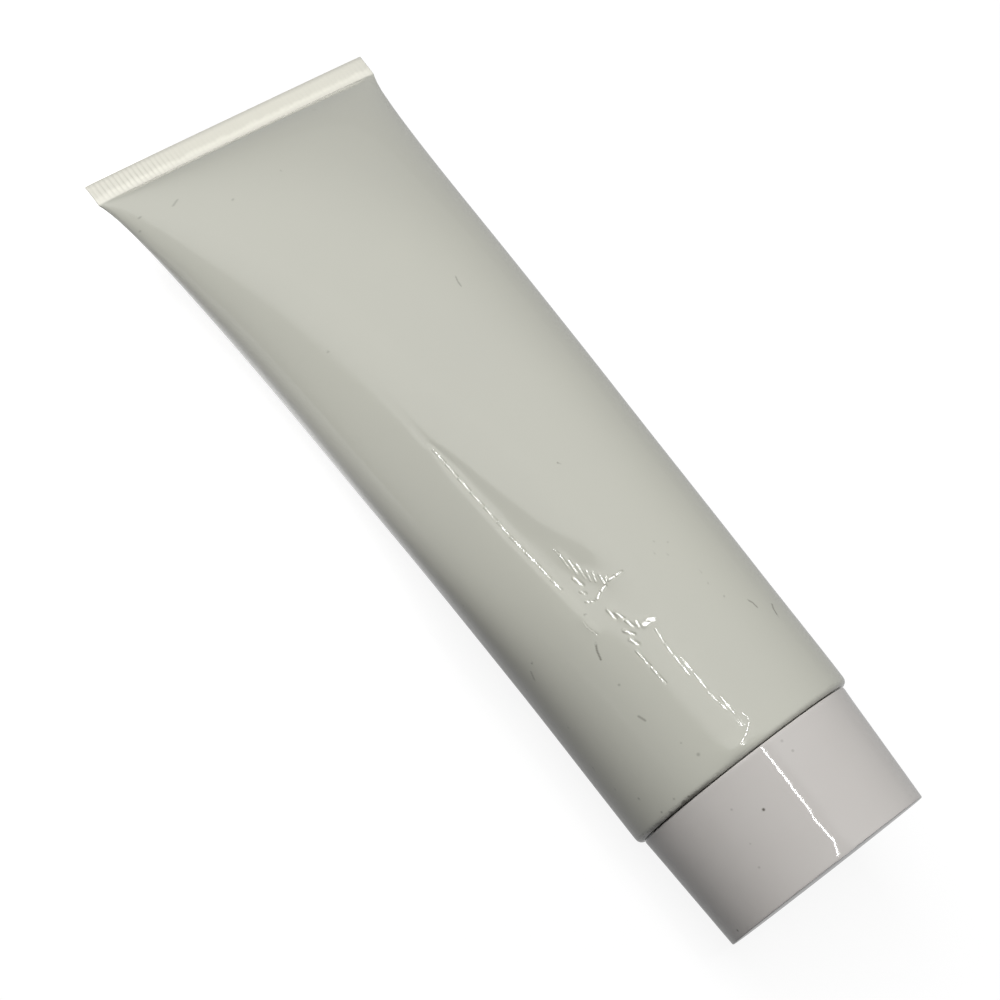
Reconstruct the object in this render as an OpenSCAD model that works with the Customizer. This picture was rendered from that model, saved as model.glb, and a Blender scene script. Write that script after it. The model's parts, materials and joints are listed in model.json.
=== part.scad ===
// Squeeze tube with a screw cap, full, lying on its belly.
// The tube's own frame has X along the axis, with 0 at the shoulder and + towards the cap.

/* [Sleeve] */
// Outside diameter of the round sleeve
sleeve_d = 40; // [30:1:50]
// Wall of the sleeve, which the crimp presses together twice over
sleeve_wall = 0.45; // [0.3:0.05:0.8]
// Length from the shoulder to the inner line of the crimp
body_len = 124.3; // [90:0.1:180]
// Radius of the sleeve's rolled edge at the shoulder
edge_r = 1.1; // [0.8:0.1:2]

/* [Crimp] */
// Length of the flat, sealed band
crimp_len = 3.5; // [2:0.5:10]
// How much further than the sleeve the pressed band spreads on each side
crimp_spread = 0.5; // [0:0.1:1.5]
// Turn of the crimp about the tube's axis, in degrees
crimp_turn = -8; // [-20:1:20]
// How far the crimp lies to the left of the axis
crimp_sway = 1.2; // [-4:0.1:4]
// How far the crimp lies below the axis
crimp_sag = 1; // [-4:0.1:4]

/* [Fullness] */
// Power with which the tube gets thinner towards the crimp: higher stays round for longer
belly_power = 2.7; // [1.5:0.1:4]
// Root with which it closes at the crimp: lower is blunter
belly_root = 0.445; // [0.3:0.005:0.8]
// How lens-shaped the section is at the crimp, where 1 is an ellipse
lens_power = 1.25; // [1:0.05:2]
// Height of the belly that is pressed flat by the surface under it
rest_flat = 0.5; // [0.1:0.1:1.5]

/* [Head] */
// Thickness of the shoulder at its rim
shoulder_t = 1.2; // [0.8:0.1:2]
// Height of the cone between the shoulder's rim and the neck
cone_h = 2.2; // [1:0.1:3]
// Diameter of the neck at the root of its thread
neck_d = 15; // [12:0.5:18]
// Height of the neck's tip above the shoulder plane
neck_h = 14; // [10:0.5:18]
// Bevel round the neck's tip
neck_bevel = 0.5; // [0.2:0.1:1]
// Diameter of the nozzle's hole
nozzle_d = 8; // [5:0.5:9]
// Height of the thread's crest over the neck
thread_h = 0.8; // [0.4:0.1:1.2]

/* [Cap] */
// How far the cap's rim lies inside the sleeve's surface
cap_step = 1; // [0.2:0.1:2]
// How much smaller in radius the flat end is than the rim
cap_draft = 0.9; // [0:0.1:2]
// Gap between the shoulder plane and the cap's rim
cap_gap = 0.3; // [0.2:0.1:1]
// Wall of the skirt, the collar and the sealing ring
cap_wall = 1.3; // [0.8:0.1:1.6]
// Thickness of the flat end
cap_end_t = 1.4; // [1:0.1:2.5]
// Radius of the edge round the flat end
cap_edge_r = 0.5; // [0.2:0.1:1]
// Height of the ring that presses the sealing disc down
ring_h = 3.8; // [1:0.1:8]
// Thickness of the sealing disc
liner_t = 1; // [0.6:0.1:1.5]

/* [Hidden] */

fit_gap = 0.1;      // between flat faces that press together
run_gap = 0.35;     // between pieces that turn past each other
around = 56;        // points round the sleeve
rings = 38;         // rings along the sleeve
edge_steps = 4;     // rings round the rolled edge
ring_bias = 1.4;    // crowds the rings towards the crimp
lens_start = 0.5;   // share of the length where the lens begins
corner_start = 0.7; // share of the length where the crimp's square edge begins
corner_power = 0.3; // squareness of the crimp's edge
drift_power = 2.6;  // how late the sleeve leaves its axis
spread_power = 60;  // how late the crimp spreads
balance = 0.37;     // share of the length over which the full tube balances
slope_step = 0.02;  // step for the belly's slope
halvings = 14;      // steps of the search for the width
narrowest = 0.5;    // least half width in the search, as a share of the sleeve's radius
widest = 1.7;       // greatest half width in the search, as a share of the sleeve's radius
turned_fn = 96;     // facets of the turned pieces
edge_turn = 15;     // degrees between the points of the cap's rounded edge

// Soft dents, and a bulge where the depth is less than 0:
// distance from the shoulder, angle round the axis, depth, half length, half angle
dents = [
    [33, 127, 0.7, 7, 10],
    [48, 134, 0.5, 16, 10],
    [17, 112, 0.32, 11, 10],
    [72, 113, 1.6, 38, 28],
    [60, 178, -2.4, 28, 18],
];

sleeve_r = sleeve_d / 2;
neck_r = neck_d / 2;
nozzle_r = nozzle_d / 2;
neck_foot = shoulder_t + cone_h;
collar_r = neck_r + thread_h + run_gap;
collar_foot = neck_foot + run_gap;
liner_foot = neck_h + fit_gap;
liner_r = collar_r - run_gap;
ring_foot = liner_foot + liner_t + fit_gap;
ring_r = neck_r - neck_bevel;
deck = ring_foot + ring_h;
cap_top = deck + cap_end_t;
rim_r = sleeve_r - cap_step;
end_r = rim_r - cap_draft;
shoulder_r = rim_r - cap_wall - 2 * run_gap;

function ease(x) = let (c = max(0, min(1, x))) c * c * (3 - 2 * c);
function sum(v) = v * [for (x = v) 1];

// One point of a section: a circle at the shoulder, a lens further on, a thin bar at the crimp
function section_point(a, high, wide, lens, bar) = let (s = abs(sin(a)))
    [wide * cos(a),
     sign(sin(a)) * ((high - sleeve_wall * bar) * pow(s, lens) + sleeve_wall * bar * pow(s, corner_power))];

// A quarter of the section's girth, which stays the same from end to end because film doesn't stretch
function quarter(high, wide, lens, bar) = let (step = 360 / around)
    sum([for (a = [0 : step : 90 - step / 2])
        norm(section_point(a + step, high, wide, lens, bar) - section_point(a, high, wide, lens, bar))]);
full_quarter = quarter(sleeve_r, sleeve_r, 1, 0);

function half_width(high, lens, bar, low = narrowest * sleeve_r, top = widest * sleeve_r, n = halvings) =
    let (mid = (low + top) / 2)
    n == 0 ? mid
    : quarter(high, mid, lens, bar) > full_quarter ? half_width(high, lens, bar, low, mid, n - 1)
    : half_width(high, lens, bar, mid, top, n - 1);

// Half the sleeve's height at a share t of its length
function half_height(t) = max(sleeve_wall, sleeve_r * pow(1 - pow(t, belly_power), belly_root));

function dent_depth(x, a) = sum([for (d = dents)
    let (turn = (a - d[1] + 540) % 360 - 180)
    d[2] * exp(-pow((x - d[0]) / d[3], 2) - pow(turn / d[4], 2))]);

// The sleeve's section at a distance x from the shoulder, turned and drifted as it nears the crimp
function sleeve_ring(x) =
    let (t = min(1, x / body_len), high = half_height(t), bar = ease((t - corner_start) / (1 - corner_start)),
        lens = 1 + (lens_power - 1) * ease((t - lens_start) / (1 - lens_start)),
        wide = half_width(high, lens, bar) + crimp_spread * pow(t, spread_power),
        turn = crimp_turn * t * t, drift = pow(t, drift_power))
    [for (i = [0 : around - 1])
        let (a = 360 * i / around, p = section_point(a, high, wide, lens, bar),
            q = p * (1 - (1 - bar) * dent_depth(x, a) / sleeve_r))
        [-x, q.x * cos(turn) - q.y * sin(turn) - crimp_sway * drift,
         q.x * sin(turn) + q.y * cos(turn) - crimp_sag * drift]];

// The rolled edge at the shoulder
function edge_ring(a) = let (r = sleeve_r - edge_r * (1 - cos(a)), x = -edge_r * (1 - sin(a)))
    [for (i = [0 : around - 1]) [x, r * cos(360 * i / around), r * sin(360 * i / around)]];

sleeve_rings = concat(
    [for (i = [edge_steps : -1 : 1]) edge_ring(90 * i / edge_steps)],
    [for (i = [0 : rings])
        sleeve_ring(edge_r + (body_len - edge_r) * (1 - pow(1 - i / rings, ring_bias)))],
    [sleeve_ring(body_len + crimp_len)]);

// The tube leans so that its belly is level under its balance point
belly_slope = (half_height(balance - slope_step) - half_height(balance + slope_step)) / (2 * slope_step * body_len);
sag_slope = crimp_sag * drift_power * pow(balance, drift_power - 1) / body_len;
lean = atan(belly_slope - sag_slope);
function leaned(p) = [p.x * cos(lean) - p.z * sin(lean), p.y, p.x * sin(lean) + p.z * cos(lean)];

// The origin is under the middle of the part, on the surface that it lies on
skin = [for (ring = sleeve_rings) for (p = ring) leaned(p)];
skin_x = [for (p = skin) p.x];
skin_y = [for (p = skin) p.y];
cap_reach = cap_top * cos(lean) + end_r * sin(lean);
place = [-(min(skin_x) + cap_reach) / 2, -(min(skin_y) + max(skin_y)) / 2,
    -min([for (p = skin) p.z]) - rest_flat];
function laid(p) = let (q = leaned(p) + place) [q.x, q.y, max(0, q.z)];

module lay() translate(place) rotate([0, 90 - lean, 0]) children();

module tube_body() color([0.77, 0.77, 0.73]) {
    count = len(sleeve_rings);
    end_a = count * around;
    end_b = end_a + 1;
    crimp_end = sleeve_rings[count - 1];
    points = concat(
        [for (ring = sleeve_rings) for (p = ring) laid(p)],
        [laid([0, 0, 0]), laid((crimp_end[0] + crimp_end[around / 2]) / 2)]);
    faces = [for (i = [0 : around - 1]) let (j = (i + 1) % around, last = end_a - around) each concat(
        [for (a = [0 : around : last - around]) let (b = a + around)
            each [[a + i, a + j, b + j], [a + i, b + j, b + i]]],
        [[j, i, end_a], [last + i, last + j, end_b]])];
    polyhedron(points, faces);
}

module head() color([0.86, 0.86, 0.83])
    lay() rotate_extrude($fn = turned_fn)
        polygon([
            [nozzle_r, 0], [shoulder_r, 0], [shoulder_r, shoulder_t],
            [neck_r + cone_h, shoulder_t], [neck_r, neck_foot],
            [neck_r, neck_h - neck_bevel], [neck_r - neck_bevel, neck_h], [nozzle_r, neck_h],
        ]);

module cap_liner() color([0.9, 0.9, 0.88])
    lay() translate([0, 0, liner_foot]) cylinder(h = liner_t, r = liner_r, $fn = turned_fn);

module cap() color([0.8, 0.78, 0.76])
    lay() rotate_extrude($fn = turned_fn)
        polygon(concat(
            [[0, deck], [ring_r - cap_wall, deck], [ring_r - cap_wall, ring_foot],
             [ring_r, ring_foot], [ring_r, deck], [collar_r, deck],
             [collar_r, collar_foot], [collar_r + cap_wall, collar_foot],
             [collar_r + cap_wall, deck], [end_r - cap_wall, deck],
             [rim_r - cap_wall, cap_gap], [rim_r, cap_gap]],
            [for (a = [0 : edge_turn : 90])
                [end_r - cap_edge_r * (1 - cos(a)), cap_top - cap_edge_r * (1 - sin(a))]],
            [[0, cap_top]]));

tube_body();
head();
cap_liner();
cap();
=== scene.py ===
# A full squeeze tube with a screw cap, lying on its belly: its looks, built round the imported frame
import json
import math

import bmesh
import bpy
from mathutils import Matrix, Quaternion, Vector, kdtree, noise


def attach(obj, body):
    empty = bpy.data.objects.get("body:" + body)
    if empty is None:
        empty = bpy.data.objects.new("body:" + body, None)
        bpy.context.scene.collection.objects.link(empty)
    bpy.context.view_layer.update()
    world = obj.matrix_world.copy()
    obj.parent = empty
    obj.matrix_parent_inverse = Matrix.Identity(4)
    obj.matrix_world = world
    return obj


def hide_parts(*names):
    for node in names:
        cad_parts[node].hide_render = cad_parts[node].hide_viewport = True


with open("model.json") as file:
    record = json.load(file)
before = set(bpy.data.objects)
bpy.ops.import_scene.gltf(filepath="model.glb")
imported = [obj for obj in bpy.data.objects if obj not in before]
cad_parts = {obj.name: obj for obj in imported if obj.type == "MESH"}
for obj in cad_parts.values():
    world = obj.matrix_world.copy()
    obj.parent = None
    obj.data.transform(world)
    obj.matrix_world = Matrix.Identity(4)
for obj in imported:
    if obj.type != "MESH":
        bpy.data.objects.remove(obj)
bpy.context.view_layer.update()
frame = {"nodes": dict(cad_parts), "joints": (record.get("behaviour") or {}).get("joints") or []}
mm = 0.001

# The tube's own space: X along its axis from the shoulder to the cap, Z up, as the cap's joint gives it
capJoint = next(joint for joint in frame["joints"] if joint["name"] == "cap_turn")
tubeLean = math.asin(capJoint["axis"][2])
tubePlace = Vector(capJoint["pos_m"])
tubeSpace = Matrix.Translation(tubePlace) @ Matrix.Rotation(-tubeLean, 4, "Y")
tubeSpaceBack = tubeSpace.inverted()


def deselectAll():
    bpy.ops.object.select_all(action="DESELECT")


def makeActive(piece):
    deselectAll()
    piece.select_set(True)
    bpy.context.view_layer.objects.active = piece


def applyModifier(piece, kind, settings):
    makeActive(piece)
    modifier = piece.modifiers.new(kind.title(), kind)
    for name, value in settings.items():
        setattr(modifier, name, value)
    bpy.ops.object.modifier_apply(modifier=modifier.name)


def selectParts(piece, faces=None, edges=None):
    # Goes into edit mode with only the faces or edges that pass the test selected
    makeActive(piece)
    bpy.ops.object.mode_set(mode="EDIT")
    bpy.ops.mesh.select_mode(type="FACE" if faces else "EDGE")
    bpy.ops.mesh.select_all(action="DESELECT")
    form = bmesh.from_edit_mesh(piece.data)
    for part in form.faces if faces else form.edges:
        part.select_set((faces or edges)(part))
    form.select_flush_mode()
    bmesh.update_edit_mesh(piece.data)


def leaveEdit():
    bpy.ops.object.mode_set(mode="OBJECT")


def smoothStep(low, high, value):
    share = max(0.0, min(1.0, (value - low) / (high - low)))
    return share * share * (3 - 2 * share)


# Materials

def linear(hexColour):
    # An sRGB hex colour as the linear colour that a shader takes
    channels = [int(hexColour[i:i + 2], 16) / 255 for i in (1, 3, 5)]
    return [c / 12.92 if c <= 0.04045 else ((c + 0.055) / 1.055) ** 2.4 for c in channels] + [1.0]


def addNode(tree, kind, settings=None, **inputs):
    # Adds a node, sets its properties, and sets or links its inputs by name, with _ for a space
    node = tree.nodes.new("ShaderNode" + kind)
    for name, value in (settings or {}).items():
        setattr(node, name, value)
    for name, value in inputs.items():
        socket = node.inputs[int(name[1:])] if name[1:].isdigit() else node.inputs[name.replace("_", " ")]
        if isinstance(value, bpy.types.NodeSocket):
            tree.links.new(value, socket)
        else:
            socket.default_value = value
    return node


# Settings that many nodes share
smoothly = {"interpolation_type": "SMOOTHSTEP"}
ofColours = {"data_type": "RGBA"}


def startMaterial(name):
    material = bpy.data.materials.new(name)
    material.use_nodes = True
    tree = material.node_tree
    tree.nodes.clear()
    # Millimetres in the tube's own space
    place = addNode(tree, "Mapping", {"vector_type": "TEXTURE"},
                    Vector=addNode(tree, "TexCoord").outputs["Object"],
                    Location=tubePlace, Rotation=(0, -tubeLean, 0), Scale=(mm, mm, mm)).outputs[0]
    return material, tree, place


def finishMaterial(tree, shader):
    addNode(tree, "OutputMaterial", Surface=shader.outputs[0])


def dustOn(tree):
    # How dark the clinging specks and fibres are, from 0 to 1, as markDust paints it
    return addNode(tree, "Attribute", {"attribute_name": "dust"}).outputs["Fac"]


def giveMaterial(piece, material):
    piece.data.materials.clear()
    piece.data.materials.append(material)


# Low-density polyethylene film, extruded and full of pale grease: an even grey-white with a soft gloss.
# The grease behind it greys it. The crimp, which has none, stays whiter. Along its inner line a painted
# highlight, lighter still, stands in for the light that a raised bead catches there.
filmLook = {
    "filled": "#C4C4B8", "cloud": "#BFBFB5", "crimp": "#E4E2D6", "beadHighlight": "#F2F0E4", "shadeGrimeAndDust": "#4A463A",
    "cloudSize": 28, "roughness": 0.07, "ior": 1.5, "peelSize": 0.9, "peelDepth": 0.0025,
    "scuffSize": 2.2, "gapShadeAndGrimeSize": 1.1, "beadHighlightSize": 1.6,
    # Along the tube in mm: where the crimp's colour sets in, where its bead's painted highlight ends,
    # and how far the painted shade and grime in the gap at the cap reach. Across it in mm: where they thin
    # out, and the share of them that is left on the far side.
    "crimpStart": (-124.5, -124.0), "beadHighlightEnd": (-126.4, -125.6), "gapShadeAndGrimeReach": (-0.35, -1.1),
    "gapShadeAndGrimeSide": (-13.0, -18.5), "gapShadeAndGrimeFar": 0.06,
}


def makeFilm():
    look = filmLook
    material, tree, place = startMaterial("extruded polyethylene film")
    x, y, z = addNode(tree, "SeparateXYZ", Vector=place).outputs
    cloud = addNode(tree, "TexNoise", Vector=place, Scale=1 / look["cloudSize"], Detail=3.0)
    filled = addNode(tree, "Mix", ofColours, _0=cloud.outputs[0],
                     _6=linear(look["filled"]), _7=linear(look["cloud"]))
    pressed = addNode(tree, "MapRange", smoothly, Value=x,
                      From_Min=look["crimpStart"][0], From_Max=look["crimpStart"][1], To_Min=1.0, To_Max=0.0)
    # A painted highlight along the crimp's inner line, where a raised bead would catch the light, ragged at
    # its edge
    uneven = addNode(tree, "TexNoise", Vector=place, Scale=1 / look["beadHighlightSize"], Detail=2.0)
    uneven = addNode(tree, "Math", {"operation": "SUBTRACT"}, _0=x, _1=uneven.outputs[0])
    beadHighlightShare = addNode(tree, "MapRange", smoothly, Value=uneven.outputs[0],
                        From_Min=look["beadHighlightEnd"][0], From_Max=look["beadHighlightEnd"][1])
    crimp = addNode(tree, "Mix", ofColours, _0=beadHighlightShare.outputs[0],
                    _6=linear(look["crimp"]), _7=linear(look["beadHighlight"]))
    film = addNode(tree, "Mix", ofColours, _0=pressed.outputs[0],
                   _6=filled.outputs[2], _7=crimp.outputs[2])
    # Painted shade and patchy grime in the gap at the cap, most of it on the near side, with the clinging
    # specks added
    patches = addNode(tree, "TexNoise", Vector=place, Scale=1 / look["gapShadeAndGrimeSize"], Detail=2.0)
    reach = addNode(tree, "MapRange", None, Value=patches.outputs[0], From_Min=0.35, From_Max=0.7,
                    To_Min=look["gapShadeAndGrimeReach"][0], To_Max=look["gapShadeAndGrimeReach"][1])
    nearCap = addNode(tree, "MapRange", smoothly, Value=x,
                      From_Min=reach.outputs[0], From_Max=-0.1)
    nearSide = addNode(tree, "MapRange", smoothly, Value=y,
                       From_Min=look["gapShadeAndGrimeSide"][0], From_Max=look["gapShadeAndGrimeSide"][1],
                       To_Min=look["gapShadeAndGrimeFar"], To_Max=1.0)
    shadeGrimeAndDust = addNode(tree, "Math", {"operation": "MULTIPLY"}, _0=nearCap.outputs[0], _1=nearSide.outputs[0])
    shadeGrimeAndDust = addNode(tree, "Math", {"operation": "MAXIMUM"}, _0=shadeGrimeAndDust.outputs[0], _1=dustOn(tree))
    colour = addNode(tree, "Mix", ofColours, _0=shadeGrimeAndDust.outputs[0],
                     _6=film.outputs[2], _7=linear(look["shadeGrimeAndDust"]))
    peel = addNode(tree, "TexNoise", Vector=place, Scale=1 / look["peelSize"], Detail=2.0)
    bump = addNode(tree, "Bump", None, Strength=1.0, Distance=look["peelDepth"] * mm, Height=peel.outputs[0])
    scuffs = addNode(tree, "TexNoise", Vector=place, Scale=1 / look["scuffSize"], Detail=4.0)
    rough = addNode(tree, "MapRange", None, Value=scuffs.outputs[0], From_Min=0.3, From_Max=0.7,
                    To_Min=look["roughness"] * 0.8, To_Max=look["roughness"] * 1.3)
    finishMaterial(tree, addNode(tree, "BsdfPrincipled", None, Base_Color=colour.outputs[2], IOR=look["ior"],
                                 Roughness=rough.outputs[0], Normal=bump.outputs[0]))
    return material


# Polypropylene, injection moulded in a polished mould: a slightly pinker white, glossier than the film
capLook = {
    "base": "#CAC7C3", "cloud": "#C5C0BC", "cloudSize": 16, "roughness": 0.06, "ior": 1.49,
    "peelSize": 1.4, "peelDepth": 0.003,
}

# High-density polyethylene, moulded in one with the sleeve's end: whiter than the film, and less glossy,
# as nothing polishes it
headLook = {
    "base": "#DEDED8", "cloud": "#D6D6CE", "cloudSize": 9, "roughness": 0.3, "ior": 1.51,
    "peelSize": 0.7, "peelDepth": 0.008,
}

# Foamed polyethylene, cut from sheet: matt and finely pitted
discLook = {
    "base": "#EDEDE9", "cloud": "#E4E4DE", "cloudSize": 2, "roughness": 0.55, "ior": 1.45,
    "peelSize": 0.3, "peelDepth": 0.04,
}

# Lithium grease: pale amber, soft and wet
greaseLook = {
    "base": "#C9A85E", "cloud": "#B8954B", "cloudSize": 3, "roughness": 0.25, "ior": 1.48,
    "peelSize": 1.5, "peelDepth": 0.1,
}


def makeMoulded(name, look):
    material, tree, place = startMaterial(name)
    cloud = addNode(tree, "TexNoise", Vector=place, Scale=1 / look["cloudSize"], Detail=3.0)
    clean = addNode(tree, "Mix", ofColours, _0=cloud.outputs[0],
                    _6=linear(look["base"]), _7=linear(look["cloud"]))
    colour = addNode(tree, "Mix", ofColours, _0=dustOn(tree),
                     _6=clean.outputs[2], _7=linear(filmLook["shadeGrimeAndDust"]))
    peel = addNode(tree, "TexNoise", Vector=place, Scale=1 / look["peelSize"], Detail=2.0)
    bump = addNode(tree, "Bump", None, Strength=1.0, Distance=look["peelDepth"] * mm, Height=peel.outputs[0])
    rough = addNode(tree, "MapRange", None, Value=cloud.outputs[0], From_Min=0.3, From_Max=0.7,
                    To_Min=look["roughness"] * 0.85, To_Max=look["roughness"] * 1.2)
    finishMaterial(tree, addNode(tree, "BsdfPrincipled", None, Base_Color=colour.outputs[2], IOR=look["ior"],
                                 Roughness=rough.outputs[0], Normal=bump.outputs[0]))
    return material


# Camera, floor and light

cameraLook = {
    "place": (0.064662, -0.371354, 0.54254), "aim": (-0.000588, -0.005478, 0.0204),
    "roll": 44.815, "lens": 152.143, "sensor": 36,
}


def makeCamera():
    look = cameraLook
    data = bpy.data.cameras.new("camera")
    data.lens = look["lens"]
    data.sensor_width = look["sensor"]
    data.sensor_fit = "HORIZONTAL"
    data.clip_start = 0.01
    camera = bpy.data.objects.new("camera", data)
    bpy.context.scene.collection.objects.link(camera)
    place = Vector(look["place"])
    level = (Vector(look["aim"]) - place).to_track_quat("-Z", "Y")
    camera.rotation_mode = "QUATERNION"
    camera.rotation_quaternion = level @ Quaternion((0, 0, 1), math.radians(look["roll"]))
    camera.location = place
    bpy.context.scene.camera = camera


floorLook = {"size": 6, "colour": "#626262", "colourNearCrimp": "#B4B4B4", "seen": 0.9,
             "mirrored": 0.42, "mirroredNearCrimp": 0.9, "changes": (0.02, -0.03), "sides": (0, -0.02)}


def makeFloor():
    # A pale floor that the camera sees as white and the tube mirrors as grey, with a soft shadow on it.
    # It is lighter near the crimp on the near side, where it throws more light back at the tube.
    look = floorLook
    bpy.ops.mesh.primitive_plane_add(size=look["size"], location=(0, 0, 0))
    floor = bpy.context.object
    floor.name = "floor"
    material = bpy.data.materials.new("pale studio floor")
    material.use_nodes = True
    tree = material.node_tree
    tree.nodes.clear()
    paths = addNode(tree, "LightPath").outputs
    mirrored = addNode(tree, "Math", {"operation": "MAXIMUM"},
                       _0=paths["Is Glossy Ray"], _1=paths["Is Transmission Ray"])
    x, y, z = addNode(tree, "SeparateXYZ", Vector=addNode(tree, "TexCoord").outputs["Object"]).outputs
    beside = addNode(tree, "MapRange", smoothly, Value=y,
                     From_Min=look["sides"][0], From_Max=look["sides"][1])
    nearCrimp = addNode(tree, "MapRange", smoothly, Value=x,
                        From_Min=look["changes"][0], From_Max=look["changes"][1])
    nearCrimp = addNode(tree, "Math", {"operation": "MULTIPLY"},
                        _0=nearCrimp.outputs[0], _1=beside.outputs[0])
    glowHere = addNode(tree, "MapRange", None, Value=nearCrimp.outputs[0],
                       To_Min=look["mirrored"], To_Max=look["mirroredNearCrimp"])
    mirrored = addNode(tree, "Math", {"operation": "MULTIPLY"},
                       _0=mirrored.outputs[0], _1=glowHere.outputs[0])
    colour = addNode(tree, "Mix", ofColours, _0=nearCrimp.outputs[0],
                     _6=linear(look["colour"]), _7=linear(look["colourNearCrimp"]))
    glow = addNode(tree, "Math", {"operation": "MULTIPLY_ADD"},
                   _0=paths["Is Camera Ray"], _1=look["seen"], _2=mirrored.outputs[0])
    white = addNode(tree, "Emission", None, Color=(1, 1, 1, 1), Strength=glow.outputs[0])
    matt = addNode(tree, "BsdfDiffuse", None, Color=colour.outputs[2])
    finishMaterial(tree, addNode(tree, "AddShader", None, _0=matt.outputs[0], _1=white.outputs[0]))
    giveMaterial(floor, material)


# A turn is a direction about the tube's length, in degrees: 90 is straight up, 180 level on the near side.
# What the tube mirrors is white, and brighter beyond an edge that steps towards the near side at the crimp.
worldLook = {
    "sky": 0.02, "mirrored": 0.6, "brighter": 1.7, "edge": 100, "edgeNearCrimp": 138, "edgeWidth": 10,
    "stepStart": -0.072, "stepEnd": -0.1, "fadeEnd": 0,
}


def makeWorld():
    look = worldLook
    world = bpy.data.worlds.new("studio")
    world.use_nodes = True
    bpy.context.scene.world = world
    tree = world.node_tree
    tree.nodes.clear()
    paths = addNode(tree, "LightPath").outputs
    seen = addNode(tree, "Math", {"operation": "MAXIMUM"},
                   _0=paths["Is Camera Ray"], _1=paths["Is Glossy Ray"])
    seen = addNode(tree, "Math", {"operation": "MAXIMUM"},
                   _0=seen.outputs[0], _1=paths["Is Transmission Ray"])
    direction = addNode(tree, "SeparateXYZ", Vector=addNode(tree, "TexCoord").outputs["Generated"])
    turn = addNode(tree, "Math", {"operation": "ARCTAN2"}, _0=direction.outputs[2], _1=direction.outputs[1])
    edge = addNode(tree, "MapRange", smoothly, Value=direction.outputs[0],
                   From_Min=look["stepStart"], From_Max=look["stepEnd"],
                   To_Min=math.radians(look["edge"]), To_Max=math.radians(look["edgeNearCrimp"]))
    inside = addNode(tree, "Math", {"operation": "SUBTRACT"}, _0=edge.outputs[0], _1=turn.outputs[0])
    bright = addNode(tree, "MapRange", smoothly, Value=inside.outputs[0],
                     From_Min=0.0, From_Max=math.radians(look["edgeWidth"]))
    fade = addNode(tree, "MapRange", smoothly, Value=turn.outputs[0],
                   From_Min=math.radians(look["fadeEnd"]), From_Max=math.radians(look["edge"]))
    bright = addNode(tree, "Math", {"operation": "MULTIPLY"}, _0=bright.outputs[0], _1=fade.outputs[0])
    mirrored = addNode(tree, "MapRange", None, Value=bright.outputs[0],
                       To_Min=look["mirrored"], To_Max=look["brighter"])
    strength = addNode(tree, "Mix", {"data_type": "FLOAT"}, _0=seen.outputs[0],
                       _2=look["sky"], _3=mirrored.outputs[0])
    sky = addNode(tree, "Background", None, Color=(1, 1, 1, 1), Strength=strength.outputs[0])
    addNode(tree, "OutputWorld", Surface=sky.outputs[0])


# A large soft light overhead, a soft one from beyond the tube, and a thin bright lamp that shows as a line
# along the cap and the sleeve. The soft lights aren't mirrored: the world above holds what the tube mirrors.
lightLook = {
    "key": {"turn": 111, "distance": 1.3, "along": 1.2, "across": 0.7, "shift": -0.5, "glow": 7.1,
            "mirrored": False},
    "fill": {"turn": 22, "distance": 1.4, "along": 1.4, "across": 0.7, "shift": 0.5, "glow": 2.2,
             "mirrored": False},
    "lamp": {"turn": 103.5, "distance": 1.0, "along": 0.26, "across": 0.02, "shift": 0, "glow": 45,
             "mirrored": True},
}


def lampPlace(look, along):
    turn = math.radians(look["turn"])
    away = Vector((0, math.cos(turn), math.sin(turn)))
    return tubePlace + away * look["distance"] + Vector((look["shift"] + along, 0, 0))


def makeLights():
    for name, look in lightLook.items():
        data = bpy.data.lights.new(name, "AREA")
        data.shape = "RECTANGLE"
        data.size = look["along"]
        data.size_y = look["across"]
        # An area light's radiance is its power over its area and pi
        data.energy = look["glow"] * look["along"] * look["across"] * math.pi
        light = bpy.data.objects.new(name, data)
        bpy.context.scene.collection.objects.link(light)
        turn = math.radians(look["turn"])
        away = Vector((0, math.cos(turn), math.sin(turn)))
        light.location = lampPlace(look, 0)
        light.rotation_mode = "QUATERNION"
        light.rotation_quaternion = Matrix((
            (1, 0, 0), (0, away.z, away.y), (0, -away.y, away.z))).to_quaternion()
        light.visible_glossy = look["mirrored"]


# Sleeve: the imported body's mesh, merged, smoothed and given the small creases that the real film has.
# A place on it is a distance back from the shoulder in mm and an angle round the axis in degrees: 90 is on
# top and 180 is the near side.

sleeveForm = {
    "merge": 0.002, "levels": 2, "crimpLine": 124.3, "crimpEnd": 127.8, "crimpTurn": -8, "lineCrease": 0.75,
    "ribPitch": 1.0, "ribDepth": 0.1, "ribCuts": 3, "ribFade": 0.5, "ribsEnd": (-24, -8), "ribsLost": 0.85,
    "radius": 20, "grease": 4.3, "fine": {"back": (1, 72), "turn": (106, 154)}, "buckle": (100, 160),
    "wavePitch": 17, "waveDepth": 0.05, "waveStart": 6, "waveEnd": 15,
    "creaseStart": (0.2, 1.5), "creaseEnds": 0.15, "creaseRise": 4,
}

# Pass by pass, faces with an edge over the first length are divided within the second of a detail, in mm
detailPasses = [(0.4, 1.2), (0.2, 0.7), (0.1, 0.4)]
dustPasses = [(0.4, 0.8), (0.2, 0.4)]
spotGap = 0.3       # mm between the spots by which the nearest detail is found
slopeStep = 0.3     # mm over which the sleeve's slope is measured
dustReach = 0.7     # mm within which a speck or fibre can colour the surface
glintReach = 1.2    # mm within which a small crease can move the surface
onRound = 0.02      # mm by which a vertex on a round wall may miss its radius

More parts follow.
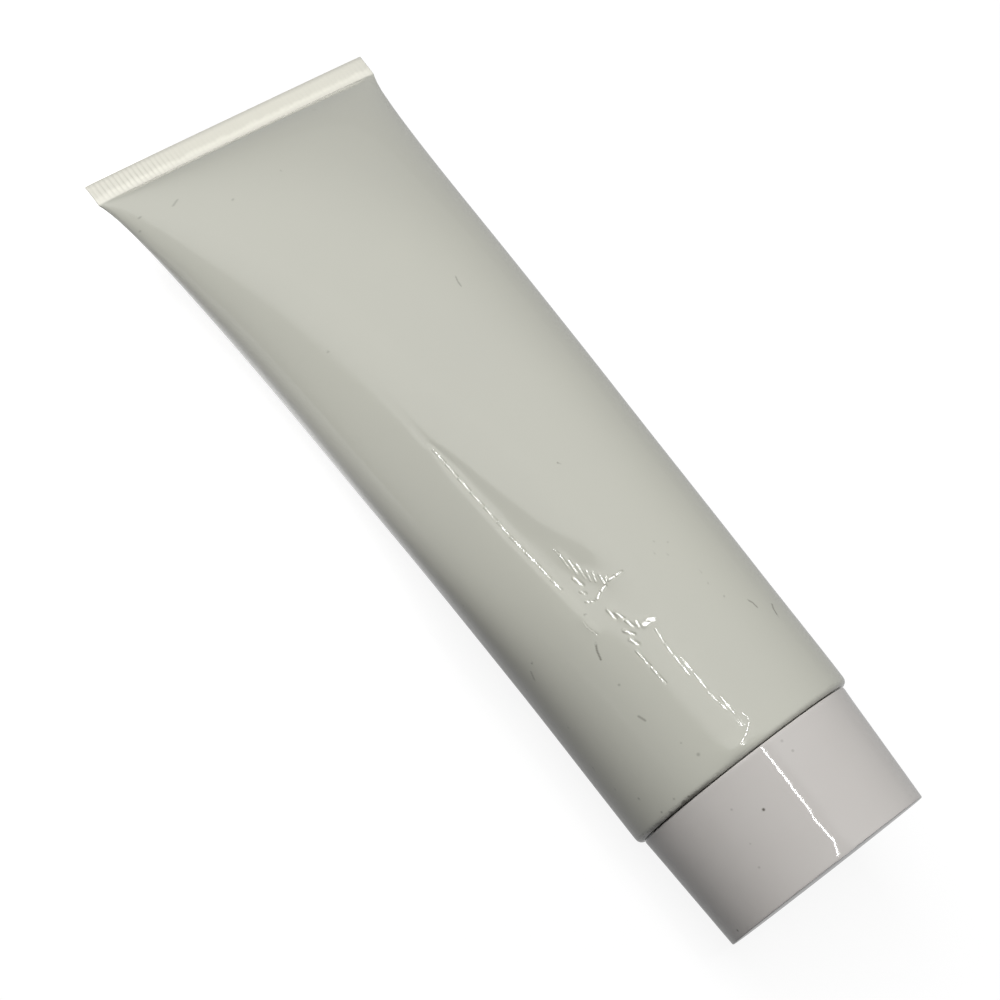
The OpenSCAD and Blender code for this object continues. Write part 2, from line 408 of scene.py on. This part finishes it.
# Specks and fibres that cling to the sleeve: how dark each is, its half width and its line
sleeveDust = [
    (0.3, 0.13, [(118.3, 164.1), (117.9, 165.1)]), (0.3, 0.16, [(119.3, 171.1)]),
    (0.3, 0.16, [(117.7, 173.3)]),
    (0.25, 0.2, [(113.6, 124.6)]), (0.2, 0.18, [(121.4, 14.9)]), (0.25, 0.2, [(113.5, 151.6)]),
    (0.3, 0.2, [(85.8, 155.8)]), (0.4, 0.16, [(84.2, 80.3), (83.4, 81.6), (82.5, 82.1)]),
    (0.45, 0.2, [(51.5, 106.7)]), (0.6, 0.17, [(26.7, 143.8), (25.7, 145.4), (24.3, 146.5)]),
    (0.5, 0.22, [(30.6, 173.8)]), (0.45, 0.16, [(29.8, 177.7), (28.6, 179.7)]), (0.4, 0.2, [(28.4, 192.6)]),
    (0.35, 0.22, [(19.7, 147.0)]), (0.4, 0.2, [(14.3, 148.8), (13.2, 147.6)]), (0.35, 0.3, [(4.4, 138.3)]),
    (0.3, 0.16, [(7.3, 141.1)]), (0.35, 0.18, [(20.8, 84.3)]), (0.3, 0.16, [(25.7, 85.8)]),
    (0.3, 0.16, [(23.8, 86.7)]), (0.5, 0.17, [(18.2, 74.1), (17.6, 72.8), (16.6, 72.3)]),
    (0.6, 0.17, [(15.9, 60.5), (15.2, 62.4), (14.1, 63.3)]), (0.4, 0.16, [(31, 140.2)]),
    (0.5, 0.24, [(5, 176)]), (0.2, 0.18, [(33.4, 94.8)]), (0.2, 0.18, [(32, 98.3)]),
    (0.2, 0.18, [(32.2, 89.5)]),
    (0.2, 0.18, [(30.7, 93.6)]), (0.7, 0.3, [(0.4, 153.8)]), (0.5, 0.2, [(1.3, 170)]),
    (0.4, 0.2, [(1.6, 160)]),
    (0.3, 0.2, [(8.5, 186)]), (0.35, 0.2, [(13, 190)]), (0.3, 0.16, [(20, 184)]), (0.25, 0.2, [(44, 182)]),
    (0.25, 0.16, [(58, 189)]),
]
# The same on the cap, where distances from the shoulder are less than 0
capDust = [
    (0.9, 0.27, [(-7.8, 131.2)]), (0.3, 0.2, [(-4.9, 142.7)]), (0.7, 0.26, [(-19.2, 187.5)]),
    (0.25, 0.25, [(-1.5, 105.4)]), (0.3, 0.25, [(-3.6, 104.1)]), (0.3, 0.2, [(-14, 150)]),
    (0.25, 0.16, [(-10.5, 146)]),
]

# The long facet pressed in beside the buckle: its gentle upper border, its sharp lower lip and its depth
facetForm = {
    "upper": [(84, 151.5), (66, 146), (46, 130), (35, 112), (24, 112)],
    "lower": [(84, 152), (64, 147.6), (56, 146.4), (47, 144.7), (34, 140.8), (24, 139)],
    "depth": [(84, 0.0), (70, 0.05), (60, 0.3), (48, 0.46), (36, 0.4), (27, 0.0)],
    "lip": 2.2,
}

# Soft crests of the buckle: the line that each follows, its height and its half width
creases = [
    {"path": [(42, 134), (36.5, 131), (33, 123), (31.5, 119)], "height": 0.1, "width": 0.9},
    {"path": [(33, 123), (31.8, 131), (30.2, 142), (27, 141)], "height": 0.1, "width": 0.9},
    {"path": [(30.5, 131), (26, 126), (23.8, 118)], "height": 0.1, "width": 0.9},
    {"path": [(4, 124), (-5, 128)], "height": 0.3, "width": 2.5},
]

# Small sharp creases, each turned so that it mirrors the lamp: the line that it follows, its half width, and
# the length of the dashes that a long one is crumpled into.
glints = [
    {"path": [(41.4, 133.5), (40.6, 132.9)], "width": 0.16, "dash": 0},
    {"path": [(40.4, 133), (38, 133.1)], "width": 0.22, "dash": 0},
    {"path": [(38.8, 131.2), (36.6, 131.7)], "width": 0.27, "dash": 0},
    {"path": [(37.7, 129.5), (35.3, 130)], "width": 0.24, "dash": 0},
    {"path": [(36.1, 127.6), (34.5, 128.8)], "width": 0.22, "dash": 0},
    {"path": [(35.3, 125.8), (33.9, 127.2)], "width": 0.22, "dash": 0},
    {"path": [(34.4, 124.1), (32.8, 124.6)], "width": 0.26, "dash": 0},
    {"path": [(33.6, 122.1), (32.9, 123.6)], "width": 0.24, "dash": 0},
    {"path": [(32.9, 122.5), (32.7, 115.5)], "width": 0.24, "dash": 1.2},
    {"path": [(32.5, 125.2), (32.3, 128.5), (31.8, 131.5)], "width": 0.26, "dash": 0.9},
    {"path": [(36.3, 134.3), (34.7, 133.3)], "width": 0.34, "dash": 0},
    {"path": [(34.1, 135.6), (33.4, 134.5)], "width": 0.26, "dash": 0},
    {"path": [(32.4, 136.4), (31.7, 133.5)], "width": 0.2, "dash": 0.6},
    {"path": [(30.2, 142.4), (29.3, 142.5), (27.5, 141.1)], "width": 0.14, "dash": 0.9},
    {"path": [(29.4, 130.9), (27.7, 130.6)], "width": 0.3, "dash": 0},
    {"path": [(28.4, 128.8), (25.1, 126.4)], "width": 0.28, "dash": 1.7},
    {"path": [(25.5, 124.1), (24.6, 124.4)], "width": 0.3, "dash": 0},
    {"path": [(24.4, 122.4), (24.3, 120.2)], "width": 0.5, "dash": 0},
    {"path": [(24.6, 119.9), (24.1, 117.6)], "width": 0.55, "dash": 0},
    {"path": [(25.5, 130.7), (24.1, 128.4)], "width": 0.3, "dash": 0},
    {"path": [(23.9, 130.9), (22.6, 129.6)], "width": 0.32, "dash": 0},
    {"path": [(22, 131.9), (18.8, 131.2), (15.6, 130.5)], "width": 0.22, "dash": 3},
    {"path": [(22.8, 119.6), (20.3, 120.3), (18.2, 120.5), (14.4, 120.2)], "width": 0.22, "dash": 2.4},
    {"path": [(17.3, 118.5), (14.3, 118.2), (11.1, 118.1)], "width": 0.24, "dash": 3},
    {"path": [(10.8, 118.6), (8.4, 117.5), (6.9, 116.9)], "width": 0.2, "dash": 2},
    {"path": [(9.1, 115.5), (5.9, 115.3)], "width": 0.24, "dash": 0},
    {"path": [(5.3, 112.4), (4.2, 111.8), (3.6, 112.6), (2.6, 116.1), (1.9, 120.5)],
     "width": 0.17, "dash": 0.9},
    {"path": [(64.4, 147.7), (56, 146.4), (47, 144.9)], "width": 0.19, "dash": 3},
    {"path": [(47, 144.9), (40.6, 142.9), (36, 141.7)], "width": 0.25, "dash": 3},
]


def tubePoint(place):
    # Distance back from the shoulder in mm and angle round the axis in degrees
    point = tubeSpaceBack @ place / mm
    return -point.x, math.degrees(math.atan2(point.z, point.y)) % 360


def readOff(line, at):
    # The second value of a line of pairs at a first value, straight between the pairs
    line = sorted(line)
    for (low, first), (high, second) in zip(line, line[1:]):
        if at <= high:
            return first + (second - first) * max(0.0, (at - low) / (high - low))
    return line[-1][1]


def arc(turn):
    return math.radians(turn) * sleeveForm["radius"]


def facetRelief(back, turn):
    # A long wedge: it sinks slowly from its upper border and rises steeply at its lower lip
    form = facetForm
    depth = readOff(form["depth"], back)
    if depth <= 0 or back > form["depth"][0][0]:
        return 0
    upper, lower = readOff(form["upper"], back), readOff(form["lower"], back)
    lip = min(form["lip"], arc(lower) - arc(upper)) / 2
    sink = smoothStep(arc(upper), arc(lower) - lip, arc(turn))
    return -depth * sink * (1 - smoothStep(arc(lower) - lip, arc(lower) + lip, arc(turn)))


def creaseRelief(crease, back, turn):
    # A soft crest along a line, lower towards its ends
    here = Vector((back, arc(turn)))
    points = [Vector((d, arc(a))) for d, a in crease["path"]]
    lengths = [(b - a).length for a, b in zip(points, points[1:])]
    whole, passed, nearest, share = sum(lengths), 0, 1e9, 0
    for a, b, length in zip(points, points[1:], lengths):
        along = max(0.0, min(1.0, (here - a).dot(b - a) / length ** 2))
        gap = (a + (b - a) * along - here).length
        if gap < nearest:
            nearest, share = gap, (passed + along * length) / whole
        passed += length
    if nearest > crease["width"] * 3:
        return 0
    rise, ends = sleeveForm["creaseRise"], sleeveForm["creaseEnds"]
    taper = min(1, rise * share + ends, rise * (1 - share) + ends)
    return crease["height"] * taper * math.exp(-(nearest / crease["width"]) ** 2)


def spread(place):
    # A place on the sleeve or the cap as distance back and arc length, both in mm
    back, turn = tubePoint(place)
    return Vector((back, arc(turn), 0))


def treeOf(paths):
    # All lines as spots, so that the nearest is quick to find
    spots = []
    for path in paths:
        points = [Vector((back, arc(turn), 0)) for back, turn in path]
        spots.append(points[0])
        for a, b in zip(points, points[1:]):
            count = math.ceil((b - a).length / spotGap)
            spots += [a.lerp(b, (number + 1) / count) for number in range(count)]
    tree = kdtree.KDTree(len(spots))
    for number, spot in enumerate(spots):
        tree.insert(spot, number)
    tree.balance()
    return tree


def divideNear(piece, tree, passes, outside):
    for size, reach in passes:
        def coarseAndNear(face):
            middle = face.calc_center_median()
            return (outside(middle) and tree.find(spread(middle))[2] < reach
                    and max(edge.calc_length() for edge in face.edges) > size * mm)
        selectParts(piece, faces=coarseAndNear)
        bpy.ops.mesh.subdivide(number_cuts=1, smoothness=0)
        leaveEdit()


def markDust(piece, marks, outside):
    # Paints the specks and fibres as an attribute that the materials read
    dust = piece.data.attributes.new("dust", "FLOAT", "POINT")
    lines = [(dark, width, [Vector((back, arc(turn), 0)) for back, turn in path])
             for dark, width, path in marks]
    tree = treeOf([path for dark, width, path in marks])
    for v in piece.data.vertices:
        here = spread(v.co)
        if tree.find(here)[2] > dustReach or not outside(v.co):
            continue
        for dark, width, points in lines:
            gap = min(fromLine(here, a, b) for a, b in zip(points, points[1:] or points))
            edge = 1 - smoothStep(width * 0.4, width * 1.3, gap)
            dust.data[v.index].value = max(dust.data[v.index].value, dark * edge)


def fromLine(here, a, b):
    length = (b - a).length_squared
    along = max(0.0, min(1.0, (here - a).dot(b - a) / length)) if length else 0
    return (a.lerp(b, along) - here).length


def surfacePlace(sleeve, back, along):
    # The place on the sleeve at a distance back from the shoulder and along the arc round the axis, in mm
    turn = along / sleeveForm["radius"]
    start = tubeSpace @ Vector((-back * mm, 0, 0))
    outward = tubeSpace.to_3x3() @ Vector((0, math.cos(turn), math.sin(turn)))
    return sleeve.ray_cast(start, outward)[1] / mm


def makeDashes(sleeve):
    # Splits the glints into dashes, each a flat spot turned so that it mirrors the lamp
    camera = Vector(cameraLook["place"]) / mm
    look = lightLook["lamp"]
    reach = look["along"] * 0.4
    dashes = []
    for glint in glints:
        points = [Vector((back, arc(turn))) for back, turn in glint["path"]]
        for a, b in zip(points, points[1:]):
            count = max(1, round((b - a).length / glint["dash"])) if glint["dash"] else 1
            for number in range(count):
                start, end = a.lerp(b, number / count), a.lerp(b, (number + 1) / count)
                middle = (start + end) / 2
                place = surfacePlace(sleeve, middle.x, middle.y)
                backwards = (surfacePlace(sleeve, middle.x + slopeStep, middle.y) - place) / slopeStep
                around = (surfacePlace(sleeve, middle.x, middle.y + slopeStep) - place) / slopeStep
                outward = around.cross(backwards).normalized()
                if outward.dot(camera - place) < 0:
                    outward.negate()
                # Of the long lamp, the part that needs the least slope along the tube
                toCamera = (camera - place).normalized()
                ends = [(lampPlace(look, side * reach) / mm - place).normalized() + toCamera
                        for side in (-1, 1)]
                low, high = (end.dot(backwards) for end in ends)
                share = max(0.0, min(1.0, low / (low - high)))
                between = ends[0].lerp(ends[1], share)
                dashes.append((middle, (end - start).normalized(), (end - start).length / 2, glint["width"],
                               place, between / between.dot(outward)))
    return dashes


def dashRelief(dashes, here, place):
    # The height that brings a place on the sleeve into the nearest dash's flat spot, which has steep borders
    most, relief = 0, 0
    for middle, line, half, width, spot, facing in dashes:
        off = here - middle
        if off.length > half + 3 * width:
            continue
        along, across = abs(off.dot(line)), abs(line.x * off.y - line.y * off.x)
        past = max(0, along - half)
        weight = math.exp(-((past / width) ** 2 + (across / width) ** 2) ** 2.5)
        if weight > most:
            most, relief = weight, -weight * facing.dot(place / mm - spot)
    return relief


def ribRelief(place):
    # Fine ribs that the sealing jaws pressed into the crimp, along the tube
    form = sleeveForm
    point = tubeSpaceBack @ place / mm
    lean = math.radians(form["crimpTurn"])
    across = point.y * math.cos(lean) + point.z * math.sin(lean)
    inside = smoothStep(form["crimpLine"], form["crimpLine"] + form["ribFade"], -point.x)
    inside *= 1 - smoothStep(form["crimpEnd"] - form["ribFade"], form["crimpEnd"], -point.x)
    inside *= 1 - form["ribsLost"] * smoothStep(*form["ribsEnd"], across)
    return -form["ribDepth"] * inside * (0.5 + 0.5 * math.cos(2 * math.pi * across / form["ribPitch"]))


def reliefAt(place):
    form = sleeveForm
    back, turn = tubePoint(place)
    if back > form["crimpLine"]:
        return ribRelief(place)
    wave = noise.noise(place / (form["wavePitch"] * mm)) * form["waveDepth"]
    relief = wave * smoothStep(0, form["waveStart"], back)
    relief *= smoothStep(form["crimpLine"], form["crimpLine"] - form["waveEnd"], back)
    if form["buckle"][0] < turn < form["buckle"][1]:
        relief += facetRelief(back, turn)
        crests = sum(creaseRelief(crease, back, turn) for crease in creases)
        relief += smoothStep(*form["creaseStart"], back) * crests
    return relief


def within(area, place):
    back, turn = tubePoint(place)
    return area["back"][0] < back < area["back"][1] and area["turn"][0] < turn < area["turn"][1]


def raiseBy(sleeve, relief):
    # Moves each vertex outwards by a height in mm, and never below the floor
    normals = [v.normal.copy() for v in sleeve.data.vertices]
    for v, normal in zip(sleeve.data.vertices, normals):
        v.co += normal * relief(v.co) * mm
        v.co.z = max(0, v.co.z)
    sleeve.data.update()
    bpy.context.view_layer.update()


def beforeCrimp(place):
    return tubePoint(place)[0] < sleeveForm["crimpLine"] - 1


def makeSleeve():
    form = sleeveForm
    deselectAll()
    sleeve = frame["nodes"]["tube_body"].copy()
    sleeve.data = sleeve.data.copy()
    sleeve.parent = None
    sleeve.name = "filledSleeve"
    for key in list(sleeve.keys()):
        del sleeve[key]
    bpy.context.scene.collection.objects.link(sleeve)
    selectParts(sleeve, faces=lambda face: True)
    bpy.ops.mesh.remove_doubles(threshold=form["merge"] * mm)
    bpy.ops.mesh.tris_convert_to_quads(face_threshold=math.radians(60), shape_threshold=math.radians(60))
    leaveEdit()

    # The crimp's end stays square, and its inner line nearly so
    def atEnd(edge):
        return (all(tubePoint(v.co)[0] > form["crimpEnd"] - 0.1 for v in edge.verts)
                and edge.calc_face_angle(0) > 1)

    def atLine(edge):
        return all(abs(tubePoint(v.co)[0] - form["crimpLine"]) < 0.1 for v in edge.verts)
    for test, crease in ((atEnd, 1.0), (atLine, form["lineCrease"])):
        selectParts(sleeve, edges=test)
        bpy.ops.transform.edge_crease(value=crease)
        leaveEdit()
    applyModifier(sleeve, "SUBSURF", {"levels": form["levels"], "render_levels": form["levels"]})

    def alongTube(edge):
        first, second = (tubePoint(v.co) for v in edge.verts)
        middle = (edge.verts[0].co + edge.verts[1].co) / 2
        return within(form["fine"], middle) and abs(first[0] - second[0]) > 0.5
    selectParts(sleeve, edges=alongTube)
    bpy.ops.mesh.subdivide(number_cuts=1, smoothness=0)
    leaveEdit()
    divideNear(sleeve, treeOf([glint["path"] for glint in glints]), detailPasses, beforeCrimp)
    divideNear(sleeve, treeOf([path for dark, width, path in sleeveDust]), dustPasses, beforeCrimp)

    def acrossCrimp(edge):
        ends = [tubePoint(v.co)[0] for v in edge.verts]
        return (min(ends) > form["crimpLine"] - 0.05 and abs(ends[0] - ends[1]) < 0.1
                and edge.calc_length() > 0.2 * mm)
    selectParts(sleeve, edges=acrossCrimp)
    bpy.ops.mesh.subdivide(number_cuts=form["ribCuts"])
    leaveEdit()

    raiseBy(sleeve, reliefAt)
    dashes = makeDashes(sleeve)
    lines = treeOf([glint["path"] for glint in glints])

    def glintAt(place):
        here = spread(place)
        return dashRelief(dashes, here.to_2d(), place) if lines.find(here)[2] < glintReach else 0
    raiseBy(sleeve, glintAt)
    markDust(sleeve, sleeveDust, lambda place: True)
    print("sleeve:", sum(len(face.vertices) - 2 for face in sleeve.data.polygons), "triangles")
    makeActive(sleeve)
    bpy.ops.object.shade_smooth_by_angle(angle=math.radians(50))
    giveMaterial(sleeve, makeFilm())
    sleeve.data.materials.append(makeMoulded("pale grease", greaseLook))
    for face in sleeve.data.polygons:
        point = tubeSpaceBack @ face.center / mm
        if point.x > -0.2 and math.hypot(point.y, point.z) < form["grease"]:
            face.material_index = 1
    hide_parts("tube_body")
    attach(sleeve, "tube")


# Turned and moulded pieces. A profile is a list of (height over the shoulder, radius) in mm.

def spinProfile(name, profile, steps, closed=False):
    # One vertex is extruded along the profile, and the line is spun round the tube's axis
    deselectAll()
    bpy.ops.mesh.primitive_plane_add(size=mm, location=(0, 0, 0))
    piece = bpy.context.object
    piece.name = name
    bpy.ops.object.mode_set(mode="EDIT")
    bpy.ops.mesh.select_mode(type="VERT")
    bpy.ops.mesh.select_all(action="SELECT")
    bpy.ops.mesh.merge(type="CENTER")
    here = Vector((0, 0, 0))
    for number, (height, radius) in enumerate(profile):
        step = Vector((height, 0, radius)) * mm - here
        if number:
            bpy.ops.mesh.extrude_vertices_move(TRANSFORM_OT_translate={"value": step})
        else:
            bpy.ops.transform.translate(value=step)
        here += step
    bpy.ops.mesh.select_all(action="SELECT")
    if closed:
        bpy.ops.mesh.remove_doubles(threshold=0.001 * mm)
    bpy.ops.mesh.spin(steps=steps, angle=math.tau, center=(0, 0, 0), axis=(1, 0, 0), use_auto_merge=True)
    bpy.ops.mesh.select_all(action="SELECT")
    bpy.ops.mesh.remove_doubles(threshold=0.001 * mm)
    bpy.ops.mesh.normals_make_consistent(inside=False)
    leaveEdit()
    return piece


def cutWall(piece, low, high, radius, cuts):
    # Divides the edges that run along a round wall, so that a thread can be raised on it
    def onWall(edge):
        ends = [v.co / mm for v in edge.verts]
        return (all(abs(math.hypot(p.y, p.z) - radius) < onRound for p in ends)
                and all(low - 0.3 < p.x < high + 0.3 for p in ends)
                and abs(ends[0].x - ends[1].x) > 2)
    selectParts(piece, edges=onWall)
    bpy.ops.mesh.subdivide(number_cuts=cuts)
    leaveEdit()


def threadHeight(form, x, turn):
    # A right-hand thread with sloping flanks, which runs in and out over a part of a turn
    place = (x - form["start"]) / form["pitch"] - turn / math.tau
    lap = round(place)
    travelled = lap + turn / math.tau
    off = abs(place - lap) * form["pitch"]
    crest = 1 - smoothStep(form["crest"] / 2, form["crest"] / 2 + form["flank"], off)
    full = smoothStep(0, form["runIn"], travelled)
    full *= 1 - smoothStep(form["turns"] - form["runIn"], form["turns"], travelled)
    return crest * full * form["height"]


def raiseThread(piece, form, low, high, radius, outward):
    for v in piece.data.vertices:
        point = v.co / mm
        distance = math.hypot(point.y, point.z)
        if abs(distance - radius) < onRound and low < point.x < high:
            turn = math.atan2(point.z, point.y) % math.tau
            grow = 1 + outward * threadHeight(form, point.x, turn) / radius
            v.co.y *= grow
            v.co.z *= grow


def finishTurned(piece, node, body, material, smoothAngle=40, dust=(), dustBeyond=0):
    piece.data.transform(tubeSpace)
    if dust:
        def outside(place):
            point = tubeSpaceBack @ place / mm
            return math.hypot(point.y, point.z) > dustBeyond
        divideNear(piece, treeOf([path for dark, width, path in dust]), dustPasses, outside)
        markDust(piece, dust, outside)
    makeActive(piece)
    bpy.ops.object.shade_smooth_by_angle(angle=math.radians(smoothAngle))
    giveMaterial(piece, material)
    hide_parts(node)
    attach(piece, body)
    print(piece.name + ":", sum(len(face.vertices) - 2 for face in piece.data.polygons), "triangles")


def measure(node):
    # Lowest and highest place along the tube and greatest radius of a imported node, in mm
    points = [tubeSpaceBack @ v.co / mm for v in frame["nodes"][node].data.vertices]
    along = [p.x for p in points]
    return min(along), max(along), max(math.hypot(p.y, p.z) for p in points)


# Cap: a tapered skirt, a threaded collar round the neck and the ring that presses the sealing disc
capForm = {
    "wall": 1.3, "end": 1.4, "draft": 0.9, "edge": 0.25, "edgeSteps": 4, "collar": 8.65, "collarFoot": 3.75,
    "ring": 7.0, "ringFoot": 15.2, "soften": 0.15, "steps": 240, "threadCuts": 70, "skirtCuts": 50,
    "wavePitch": 4.5, "waveDepth": 0.02,
    # In mm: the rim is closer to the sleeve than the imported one, and the end a little shorter
    "closer": 0.2, "shorter": 0.01,
    # Shallow flow marks that make the lamp's reflection wander: where it would lie on an even cap, how wide
    # they are, and how far it is moved at each height, in mm
    "flow": {"turn": 114.5, "width": 2.2, "shift": [(0, 0), (12.5, 0), (13.2, 0.35), (15, 0.1), (17.8, 0),
                                                    (19.2, 0.7), (20, 1.1)]},
}
capThread = {"start": 3.0, "pitch": 3.0, "turns": 2.6, "height": 0.6, "crest": 0.35, "flank": 0.5,
             "runIn": 0.35}


def cutSkirt(cap, end):
    # Divides the edges that run along the cap's outside
    def alongSkirt(edge):
        ends = [v.co / mm for v in edge.verts]
        return all(math.hypot(p.y, p.z) > end - 0.1 for p in ends) and abs(ends[0].x - ends[1].x) > 5
    selectParts(cap, edges=alongSkirt)
    bpy.ops.mesh.subdivide(number_cuts=capForm["skirtCuts"])
    leaveEdit()


def makeCap():
    form = capForm
    low, top, rim = measure("cap")
    low -= form["closer"]
    top -= form["shorter"]
    wall, deck, end = form["wall"], top - form["end"], rim - form["draft"]
    ring, collar = form["ring"], form["collar"]
    ringFoot, collarFoot = form["ringFoot"], form["collarFoot"]
    edge = [(top - form["edge"] * (1 - math.sin(a)), end - form["edge"] * (1 - math.cos(a)))
            for a in (math.pi / 2 * n / form["edgeSteps"] for n in range(form["edgeSteps"] + 1))]
    profile = [
        (deck, 0), (deck, ring - wall), (ringFoot, ring - wall), (ringFoot, ring), (deck, ring),
        (deck, collar), (collarFoot, collar), (collarFoot, collar + wall), (deck, collar + wall),
        (deck, end - wall), (low, rim - wall), (low, rim), *edge, (top, 0),
    ]
    cap = spinProfile("screwCap", profile, form["steps"])
    applyModifier(cap, "BEVEL", {"width": form["soften"] * mm, "segments": 2, "limit_method": "ANGLE",
                                 "angle_limit": math.radians(50)})
    cutWall(cap, collarFoot, deck, collar, form["threadCuts"])
    raiseThread(cap, capThread, collarFoot, deck, collar, -1)
    cutSkirt(cap, end)
    # The outside isn't perfectly even, which makes the lamp's reflection wander
    for v in cap.data.vertices:
        point = v.co / mm
        distance = math.hypot(point.y, point.z)
        if distance > end - 0.1:
            wave = noise.noise(point / form["wavePitch"]) * form["waveDepth"]
            wave = min(0, wave - form["waveDepth"]) * smoothStep(low, low + 2, point.x)
            flow = form["flow"]
            shift = readOff(flow["shift"], point.x)
            off = math.atan2(point.z, point.y) * distance - math.radians(flow["turn"]) * distance - shift
            wave += shift / distance * off * math.exp(-(off / flow["width"]) ** 2)
            v.co.y *= 1 + wave / distance
            v.co.z *= 1 + wave / distance
    finishTurned(cap, "cap", "screw_cap",
                 makeMoulded("injection moulded polypropylene", capLook),
                 dust=capDust, dustBeyond=end - 0.25)


# Head: the shoulder, its cone and the threaded neck with the nozzle's bore
headForm = {
    "plate": 1.2, "cone": 2.2, "neck": 7.5, "nozzle": 4.0, "bevel": 0.5, "soften": 0.12, "steps": 160,
    "threadCuts": 70,
}
neckThread = {"start": 4.5, "pitch": 3.0, "turns": 2.6, "height": 0.8, "crest": 0.4, "flank": 0.5,
              "runIn": 0.35}


def makeHead():
    form = headForm
    low, top, shoulder = measure("head")
    neck, nozzle, bevel = form["neck"], form["nozzle"], form["bevel"]
    foot = form["plate"] + form["cone"]
    profile = [
        (low, nozzle), (low, shoulder), (form["plate"], shoulder), (form["plate"], neck + form["cone"]),
        (foot, neck), (top - bevel, neck), (top, neck - bevel), (top, nozzle), (low, nozzle),
    ]
    head = spinProfile("threadedNeck", profile, form["steps"], closed=True)
    applyModifier(head, "BEVEL", {"width": form["soften"] * mm, "segments": 2, "limit_method": "ANGLE",
                                  "angle_limit": math.radians(40)})
    cutWall(head, foot, top, neck, form["threadCuts"])
    raiseThread(head, neckThread, foot, top, neck, 1)
    finishTurned(head, "head", "tube", makeMoulded("moulded polyethylene", headLook))


# Sealing disc: foamed polyethylene, with the mark that the nozzle's rim pressed into it
discForm = {"steps": 96, "soften": 0.2, "mark": (4.0, 7.0), "markDepth": 0.12, "markSlope": 0.3}


def makeDisc():
    form = discForm
    low, top, radius = measure("cap_liner")
    inner, outer = form["mark"]
    sunk, slope = low + form["markDepth"], form["markSlope"]
    profile = [
        (low, 0), (low, inner - slope), (sunk, inner), (sunk, outer), (low, outer + slope),
        (low, radius), (top, radius), (top, 0),
    ]
    disc = spinProfile("sealingDisc", profile, form["steps"])
    applyModifier(disc, "BEVEL", {"width": form["soften"] * mm, "segments": 2, "limit_method": "ANGLE",
                                  "angle_limit": math.radians(50)})
    finishTurned(disc, "cap_liner", "seal", makeMoulded("foamed polyethylene", discLook))


makeCamera()
makeFloor()
makeWorld()
makeLights()
print("camera, floor and light are in place")
makeSleeve()
makeCap()
makeHead()
makeDisc()
print("sleeve, cap, head and disc are made")

bpy.context.scene.view_settings.view_transform = "Standard"
